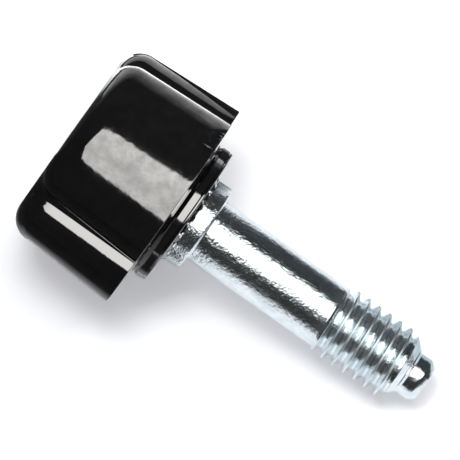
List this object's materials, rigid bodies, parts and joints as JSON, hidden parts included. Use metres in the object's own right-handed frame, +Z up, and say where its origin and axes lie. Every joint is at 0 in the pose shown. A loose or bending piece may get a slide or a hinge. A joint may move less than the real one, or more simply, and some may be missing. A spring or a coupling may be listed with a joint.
{
  "type": "thumb screw",
  "caption": "Thumb screw lying on its side: three-lobed black moulded knob on a bright zinc-plated steel screw with collar, plain shank, short thread and dog point.",
  "frame": {"origin": "on the ground under the middle of the object's length, in the plane that halves it", "axes": "+Z up as it lies on a table, +X along the ground from the knob towards the screw's tip, +Y to the side. The screw's own axis lies in the XZ plane and dips 14.8 degrees towards the tip"},
  "size_m": [0.0346, 0.018, 0.0187],
  "materials": {
    "black_plastic": "black thermoset moulding, glossy",
    "zinc_steel": "turned and rolled steel, bright zinc plated, slightly rippled"
  },
  "bodies": {
    "root": {"knob": "black_plastic", "screw": "zinc_steel"}
  },
  "joints": []
}
